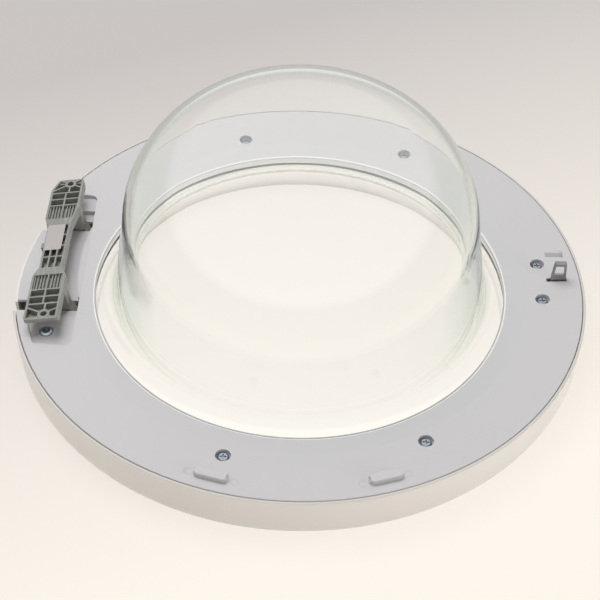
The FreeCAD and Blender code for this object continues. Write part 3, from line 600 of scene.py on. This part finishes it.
def thin_plate(size: Vector, corner: float) -> bmesh.types.BMesh:
    """Make a flat plate with rounded corners, about the origin.

    Args:
        size: its width, length and thickness.
        corner: the radius of its corners.

    Returns:
        The plate's shape.
    """
    shape = bmesh.new()
    bmesh.ops.create_cube(shape, size=1.0)
    bmesh.ops.scale(shape, vec=size, verts=shape.verts)
    upright = [e for e in shape.edges if abs(e.verts[0].co.z - e.verts[1].co.z) > size.z / 2]
    bmesh.ops.bevel(
        shape, geom=upright, offset=corner, segments=PLATE_CORNER_SEGMENTS, profile=ROUND_PROFILE,
        affect="EDGES", material=-1,
    )
    return shape


def revolve(shape: bmesh.types.BMesh, steps: int) -> None:
    """Turn a section once round the ring's axis.

    Args:
        shape: the section, changed in place.
        steps: how many steps the turn has.
    """
    bmesh.ops.spin(
        shape, geom=shape.verts[:] + shape.edges[:], cent=(0, 0, 0), axis=(0, 0, 1), dvec=(0, 0, 0),
        angle=math.tau, steps=steps, use_merge=True,
    )


@dataclass
class RingFrames:
    """The two moulded rings that clamp the glass, and the rubber seat between them."""

    def dress(self) -> None:
        """Give each ring its finish."""
        finish_node("outer_frame", FRONT_PLASTIC.build())
        finish_node("inner_frame", REAR_PLASTIC.build())
        finish_node("glass_gasket", GASKET_RUBBER.build())


@dataclass
class LipTrim:
    """The rolled edge of the rear ring's lip and a fine ring beside it: two lines round the opening, a
    painted highlight and a painted shadow line.
    """

    opening_radius: float = 171.6 * MILLIMETRE
    lip_top: float = 36.0 * MILLIMETRE
    bead_radius: float = 1.2 * MILLIMETRE
    bead_reach: float = 0.4 * MILLIMETRE
    shade_line_radius: float = 0.6 * MILLIMETRE
    bead_sink: float = 1.1 * MILLIMETRE
    shade_line_sink: float = 0.6 * MILLIMETRE
    section_segments: int = 12
    steps: int = 192

    def build(self) -> None:
        """Lay the lighter bead on the lip's edge, a painted highlight, and the darker ring against its inner
        side, a painted shadow line.
        """
        inside = self.opening_radius - self.bead_reach
        height = self.lip_top - self.bead_sink
        # The bead's lighter finish is a painted highlight on the lip's edge.
        bead = self.turn("lip_bead", inside + self.bead_radius, height, self.bead_radius, LIP_HIGHLIGHT_PLASTIC.build())
        height = self.lip_top - self.shade_line_sink
        # This darker ring is a painted shadow line along the lip's inner side.
        shade_line = self.turn("lip_shade_line", inside - self.shade_line_radius, height, self.shade_line_radius, LIP_SHADE_RUBBER.build())

    def turn(
        self, name: str, radius: float, height: float, section: float, material: bpy.types.Material,
    ) -> bpy.types.Object:
        """Turn a small round section about the ring's axis.

        Args:
            name: the piece's name.
            radius: how far the section is from the axis.
            height: how high its middle lies.
            section: the section's own radius.
            material: the finish.

        Returns:
            The turned piece.
        """
        shape = bmesh.new()
        bmesh.ops.create_circle(shape, segments=self.section_segments, radius=section)
        upright = Matrix.Rotation(math.pi / 2, 3, "X")
        bmesh.ops.rotate(shape, cent=(0, 0, 0), matrix=upright, verts=shape.verts)
        bmesh.ops.translate(shape, vec=(radius, 0.0, height), verts=shape.verts)
        revolve(shape, self.steps)
        return add_piece(name, shape, material, Body.DOOR)


@dataclass
class GlassBowl:
    """The pressed glass bowl: a flange, a tapering wall and a base that slopes up to the top of the door."""

    wall: float = 5.0 * MILLIMETRE
    foot_radius: float = 155.5 * MILLIMETRE
    foot_round: float = 15.0 * MILLIMETRE
    base_height: float = 161.0 * MILLIMETRE
    corner_round: float = 46.0 * MILLIMETRE
    edge_round: float = 1.2 * MILLIMETRE
    draft: float = math.radians(8.2)
    tilt: float = math.radians(10.0)
    steps: int = 192
    round_segments: int = 14
    wall_cuts: int = 12
    weld: float = 0.001 * MILLIMETRE
    flange_base: float = field(init=False)
    flange_top: float = field(init=False)
    flange_radius: float = field(init=False)

    def __post_init__(self) -> None:
        """Take the flange from the frame."""
        low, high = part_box("door_glass")
        self.flange_base = low.z
        self.flange_top = low.z + self.wall
        self.flange_radius = high.x

    def wall_radius(self, z: float, inset: float = 0.0) -> float:
        """Radius of the outer wall at a height, less an inset."""
        return self.foot_radius - (z - self.flange_top) * math.tan(self.draft) - inset

    def section(self) -> list[Triple]:
        """List the corners of the half section, from the axis outside round to the axis inside.

        Returns:
            The radius, height and rounding of each corner.
        """
        inset = self.wall / math.cos(self.draft)
        inner_base = self.base_height - self.wall / math.cos(self.tilt)
        return [
            (0.0, self.base_height, 0.0),
            (self.wall_radius(self.base_height), self.base_height, self.corner_round),
            (self.foot_radius, self.flange_top, self.foot_round),
            (self.flange_radius, self.flange_top, self.edge_round),
            (self.flange_radius, self.flange_base, self.edge_round),
            (self.wall_radius(self.flange_base, inset), self.flange_base, self.foot_round + self.wall),
            (self.wall_radius(inner_base, inset), inner_base, self.corner_round - self.wall),
            (0.0, inner_base, 0.0),
        ]

    def slide(self, point: Vector) -> None:
        """Slide a point along the wall, so that the level base becomes the sloping one.

        Args:
            point: a vertex of the turned bowl, changed in place.
        """
        start = self.flange_top + 2 * self.foot_round
        end = self.base_height - self.corner_round
        share = min(max((point.z - start) / (end - start), 0.0), 1.0)
        rise = share * share * (3 - 2 * share) * math.tan(self.tilt) * point.y
        narrowing = 1 - rise * math.tan(self.draft) / self.wall_radius(point.z)
        point.xy = point.xy * narrowing
        point.z += rise

    def build(self) -> None:
        """Turn the section about the ring's axis, slope the base, and let it stand for the CAD bowl."""
        shape = bmesh.new()
        corners = self.section()
        points = [shape.verts.new((r, 0.0, z)) for r, z, _ in corners]
        for first, second in zip(points, points[1:]):
            shape.edges.new((first, second))
        for corner, reach in zip(points[1:-1], self.reaches(points, corners)):
            self.round_corner(shape, corner, reach)
        longest = [edge for edge in shape.edges if edge.calc_length() > self.foot_round]
        bmesh.ops.subdivide_edges(shape, edges=longest, cuts=self.wall_cuts)
        revolve(shape, self.steps)
        bmesh.ops.remove_doubles(shape, verts=shape.verts, dist=self.weld)
        for vertex in shape.verts:
            self.slide(vertex.co)
        bowl = add_piece("glass_bowl", shape, DOOR_GLASS.build(), Body.DOOR)
        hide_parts("door_glass")

    def reaches(self, points: list[bmesh.types.BMVert], corners: list[Triple]) -> list[float]:
        """Find how far from each inner corner its rounding starts.

        Args:
            points: the section's vertices.
            corners: the section's corners with their roundings.

        Returns:
            One length for each corner between the first and the last.
        """
        found = []
        for index in range(1, len(points) - 1):
            before = points[index - 1].co - points[index].co
            after = points[index + 1].co - points[index].co
            found.append(corners[index][2] / math.tan(before.angle(after) / 2))
        return found

    def round_corner(self, shape: bmesh.types.BMesh, corner: bmesh.types.BMVert, reach: float) -> None:
        """Round one corner of the section.

        Args:
            shape: the section.
            corner: the corner's vertex.
            reach: how far from the corner the rounding starts.
        """
        bmesh.ops.bevel(
            shape, geom=[corner], offset=reach, offset_type="OFFSET", segments=self.round_segments,
            profile=ROUND_PROFILE, affect="VERTICES", material=-1,
        )


@dataclass
class HingeUnit:
    """The ribbed hinge bracket with its pin and its blank label."""

    label_width: float = 14.8 * MILLIMETRE
    label_length: float = 32.0 * MILLIMETRE
    label_thickness: float = 0.15 * MILLIMETRE
    label_corner: float = 1.2 * MILLIMETRE
    label_inboard: float = 14.5 * MILLIMETRE
    label_y: float = 27.9 * MILLIMETRE
    plate_height: float = 41.888 * MILLIMETRE
    pivot: Vector = field(init=False)
    axis: Vector = field(init=False)
    swing: float = field(init=False)

    def __post_init__(self) -> None:
        """Take the hinge axis and the stored swing from the frame."""
        joint = next(j for j in frame["joints"] if j["child"] == Body.HINGE.value)
        self.pivot = Vector(joint["pos_m"])
        self.axis = Vector(joint["axis"])
        self.swing = -math.radians(joint["range_deg"][0])

    def dress(self) -> None:
        """Give the bracket and its pin their finishes."""
        finish_node("hinge_bracket", HINGE_PLASTIC.build())
        finish_node("hinge_pin", PIN_STEEL.build())

    def build_label(self) -> None:
        """Lay a blank label on the ribs of the waist, swung with the bracket to where it is stored."""
        size = Vector((self.label_width, self.label_length, self.label_thickness))
        shape = thin_plate(size, self.label_corner)
        height = self.plate_height + self.label_thickness / 2
        place = Vector((self.pivot.x + self.label_inboard, self.label_y, self.pivot.z + height))
        bmesh.ops.translate(shape, vec=place, verts=shape.verts)
        turn = Matrix.Rotation(self.swing, 3, self.axis)
        bmesh.ops.rotate(shape, cent=self.pivot, matrix=turn, verts=shape.verts)
        label = add_piece("hinge_label", shape, LABEL_PAPER.build(), Body.HINGE)
        label.data.shade_flat()


@dataclass
class LatchUnit:
    """The hook with its carrier, pin and spring, and a darker plate in the recess above it, which paints the
    recess's shade.
    """

    mark_length: float = 14.4 * MILLIMETRE
    mark_width: float = 5.2 * MILLIMETRE
    mark_thickness: float = 0.2 * MILLIMETRE
    mark_corner: float = 0.8 * MILLIMETRE
    mark_top: float = 40.2 * MILLIMETRE
    mark_y: float = 36.5 * MILLIMETRE
    rim_inset: float = 20.75 * MILLIMETRE

    def dress(self) -> None:
        """Give each piece its finish."""
        steel = PIN_STEEL.build()
        finish_node("latch_hook", HOOK_METAL.build())
        finish_node("latch_carrier", CARRIER_PLASTIC.build())
        finish_node("latch_pin", steel)
        finish_node("latch_spring", steel)

    def build_mark(self) -> None:
        """Lay a thin plate, darker grey than the ring, in the recess a little below the face of the ring:
        painted shade.
        """
        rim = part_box("outer_frame")[1].x
        size = Vector((self.mark_length, self.mark_width, self.mark_thickness))
        shape = thin_plate(size, self.mark_corner)
        place = Vector((rim - self.rim_inset, self.mark_y, self.mark_top - self.mark_thickness / 2))
        bmesh.ops.translate(shape, vec=place, verts=shape.verts)
        # The plate's darker grey is painted shade for the recess.
        mark = add_piece("latch_mark", shape, RECESS_SHADE_PLASTIC.build(), Body.DOOR)
        mark.data.shade_flat()


@dataclass
class ScrewSet:
    """The cross-head screws of the ring, the latch and the hinge."""

    groups: tuple[str, ...] = ("frame_screws", "latch_screws", "hinge_screws")

    def dress(self) -> None:
        """Give every group the same zinc."""
        zinc = SCREW_ZINC.build()
        for group in self.groups:
            finish_node(group, zinc)


@dataclass
class Studio:
    """A pale floor under soft light, and white surroundings.

    Lengths are in metres and powers in watts. The floor runs from the near colour to the far one between
    the near and far ways, which lean to one side: painted falloff of the light, greyer away from the camera
    and to the left. Under the bowl it has two lighter colours of its own: a painted pool of light.
    """

    floor_half: float = 6.0
    floor_drop: float = 0.3 * MILLIMETRE
    # Painted light: the near and far colours stand in for the falloff of the lamps' light across the floor,
    # and the lighter bowl colours for a pool of light under the bowl.
    lit_near_colour: Colour = (0.99, 0.966, 0.928)
    shaded_far_colour: Colour = (0.79, 0.77, 0.76)
    bowl_pool_near_colour: Colour = (1.0, 0.98, 0.945)
    bowl_pool_far_colour: Colour = (0.925, 0.902, 0.868)
    bowl_radius: float = 0.18
    near_way: float = -0.25
    far_way: float = 0.47
    lean: float = -0.46
    painted_glow: float = 0.9
    sky_colour: Colour = (0.93, 0.925, 0.92)
    sky_light: float = 0.5
    sky_seen: float = 1.0
    sky_gloss: float = 0.95
    roof_gloss: float = 1.8
    gloss_start: float = 0.72
    gloss_end: float = 0.86
    top_place: Triple = (-0.42, 0.3, 1.7)
    top_size: float = 1.2
    top_power: float = 22.5
    side_place: Triple = (1.1, -0.8, 0.35)
    side_size: float = 0.5
    side_power: float = 4.0
    table_size: float = 0.3
    table_power: float = 0.3

    def build(self) -> None:
        """Make the floor, the surroundings and the lamps."""
        self.build_floor()
        self.build_surroundings()
        self.add_lamp("softbox_top", Vector(self.top_place), self.top_size, self.top_power)
        self.add_lamp("softbox_side", Vector(self.side_place), self.side_size, self.side_power)
        table = Vector((0.0, 0.0, -self.floor_drop / 2))
        self.add_lamp("table_glow", table, self.table_size, self.table_power)

    def build_floor(self) -> None:
        """Lay the floor, whose colour grows greyer away from the camera: painted falloff of the light."""
        shape = bmesh.new()
        bmesh.ops.create_grid(shape, x_segments=1, y_segments=1, size=self.floor_half)
        bmesh.ops.translate(shape, vec=(0, 0, -self.floor_drop), verts=shape.verts)
        data = bpy.data.meshes.new("floor")
        shape.to_mesh(data)
        shape.free()
        data.materials.append(self.floor_material())
        floor = bpy.data.objects.new("floor", data)
        bpy.context.scene.collection.objects.link(floor)

    def floor_material(self) -> bpy.types.Material:
        """Make the floor's paper, which glows with its own colour to all but diffuse rays: painted light that
        softens the object's shadow on it.

        Returns:
            A material whose colour runs from a near tone to a far one, outside the bowl and under it.
        """
        material = bpy.data.materials.new("floor_paper")
        material.use_nodes = True
        sheet = NodeSheet(material.node_tree)
        colour = self.floor_colour(sheet)
        paper = sheet.add("ShaderNodeBsdfDiffuse")
        sheet.link(colour, paper.inputs["Color"])
        light = sheet.add("ShaderNodeEmission")
        sheet.link(colour, light.inputs["Color"])
        rays = sheet.add("ShaderNodeLightPath")
        # Painted light: to all but diffuse rays the floor mostly shows the glow of its own colour rather than
        # its light and shade.
        seen = sheet.add("ShaderNodeMath", operation="SUBTRACT")
        seen.inputs[0].default_value = 1.0
        sheet.link(rays.outputs["Is Diffuse Ray"], seen.inputs[1])
        mix = sheet.add("ShaderNodeMixShader")
        sheet.link(sheet.maths("MULTIPLY", seen.outputs[0], self.painted_glow), mix.inputs["Fac"])
        sheet.link(paper.outputs["BSDF"], mix.inputs[1])
        sheet.link(light.outputs["Emission"], mix.inputs[2])
        output = sheet.add("ShaderNodeOutputMaterial")
        sheet.link(mix.outputs["Shader"], output.inputs["Surface"])
        return material

    def floor_colour(self, sheet: NodeSheet) -> bpy.types.NodeSocket:
        """Build the floor's colour, which paints the light: a falloff away from the camera and a lighter pool
        under the bowl.

        Args:
            sheet: the floor material's sheet.

        Returns:
            The socket of the colour.
        """
        place = sheet.add("ShaderNodeTexCoord").outputs["Object"]
        axes = sheet.add("ShaderNodeSeparateXYZ")
        sheet.link(place, axes.inputs["Vector"])
        sideways = sheet.add("ShaderNodeMath", operation="MULTIPLY_ADD")
        sideways.inputs[1].default_value = self.lean
        sheet.link(axes.outputs["X"], sideways.inputs[0])
        sheet.link(axes.outputs["Y"], sideways.inputs[2])
        # Painted falloff of the light: greyer away from the camera and towards the left.
        painted_falloff_share = sheet.fade(sideways.outputs[0], self.near_way, self.far_way)
        outside = sheet.blend(painted_falloff_share, self.lit_near_colour, self.shaded_far_colour)
        # Painted pool of light: lighter under the bowl, a little greyer towards its back.
        inward = sheet.fade(axes.outputs["Y"], -self.bowl_radius, self.bowl_radius)
        inside = sheet.blend(inward, self.bowl_pool_near_colour, self.bowl_pool_far_colour)
        distance = sheet.add("ShaderNodeVectorMath", operation="LENGTH")
        sheet.link(place, distance.inputs[0])
        under = sheet.maths("LESS_THAN", distance.outputs["Value"], self.bowl_radius)
        return sheet.blend(under, outside, inside)

    def build_surroundings(self) -> None:
        """Light the scene evenly, and show white to the camera, to gloss and through glass."""
        world = bpy.data.worlds.new("studio")
        world.use_nodes = True
        bpy.context.scene.world = world
        sheet = NodeSheet(world.node_tree)
        rays = sheet.add("ShaderNodeLightPath")
        strength: bpy.types.NodeSocket | float = self.sky_light
        for kind in ("Is Camera Ray", "Is Transmission Ray"):
            strength = self.choose(sheet, rays.outputs[kind], strength, self.sky_seen)
        way = sheet.add("ShaderNodeSeparateXYZ")
        sheet.link(sheet.add("ShaderNodeTexCoord").outputs["Generated"], way.inputs["Vector"])
        gloss = sheet.fade(
            way.outputs["Z"], self.gloss_start, self.gloss_end, self.sky_gloss, self.roof_gloss,
        )
        strength = self.choose(sheet, rays.outputs["Is Glossy Ray"], strength, gloss)
        sky = sheet.add("ShaderNodeBackground")
        sky.inputs["Color"].default_value = linear(self.sky_colour)
        sheet.link(strength, sky.inputs["Strength"])
        output = sheet.add("ShaderNodeOutputWorld")
        sheet.link(sky.outputs["Background"], output.inputs["Surface"])

    def choose(
        self,
        sheet: NodeSheet,
        test: bpy.types.NodeSocket,
        usual: bpy.types.NodeSocket | float,
        other: bpy.types.NodeSocket | float,
    ) -> bpy.types.NodeSocket:
        """Give one strength to most rays and another to those that pass a test.

        Args:
            sheet: the surroundings' sheet.
            test: 1 for the rays that pass and 0 for the rest.
            usual: the strength for most rays.
            other: the strength for those that pass.

        Returns:
            The socket of the strength.
        """
        choice = sheet.add("ShaderNodeMix")
        sheet.link(test, choice.inputs["Factor"])
        sheet.feed(usual, choice.inputs["A"])
        sheet.feed(other, choice.inputs["B"])
        return choice.outputs["Result"]

    def add_lamp(self, name: str, place: Vector, size: float, power: float) -> None:
        """Hang a soft round lamp that faces the ring's middle.

        Args:
            name: the lamp's name.
            place: its middle.
            size: its diameter.
            power: its power in watts.
        """
        data = bpy.data.lights.new(name, "AREA")
        data.shape = "DISK"
        data.size = size
        data.energy = power
        lamp = bpy.data.objects.new(name, data)
        lamp.location = place
        lamp.rotation_mode = "QUATERNION"
        lamp.rotation_quaternion = (-place).to_track_quat("-Z", "Y")
        lamp.visible_camera = False
        lamp.visible_glossy = False
        lamp.visible_transmission = False
        bpy.context.scene.collection.objects.link(lamp)


@dataclass
class DoorCamera:
    """The view down on the door, from in front of its lower edge."""

    lens: float = 84.0
    sensor: float = 36.0
    place: Triple = (0.00014, -0.8588, 0.8401)
    elevation: float = math.radians(42.9035)
    roll: float = math.radians(1.1203)
    shift: float = -0.03745

    def build(self) -> None:
        """Make the camera and use it."""
        data = bpy.data.cameras.new("door_camera")
        data.lens = self.lens
        data.sensor_width = self.sensor
        data.shift_y = self.shift
        camera = bpy.data.objects.new("door_camera", data)
        tilt = Matrix.Rotation(math.pi / 2 - self.elevation, 4, "X")
        camera.matrix_world = Matrix.Translation(self.place) @ tilt @ Matrix.Rotation(self.roll, 4, "Z")
        bpy.context.scene.collection.objects.link(camera)
        bpy.context.scene.camera = camera


def main() -> None:
    """Build the door's looks in order."""
    logging.basicConfig(level=logging.INFO)
    bpy.context.scene.view_settings.view_transform = "Standard"
    SurfaceEffects().build()
    RingFrames().dress()
    LipTrim().build()
    GlassBowl().build()
    hinge = HingeUnit()
    hinge.dress()
    hinge.build_label()
    latch = LatchUnit()
    latch.dress()
    latch.build_mark()
    ScrewSet().dress()
    Studio().build()
    DoorCamera().build()


if __name__ == "__main__":
    main()
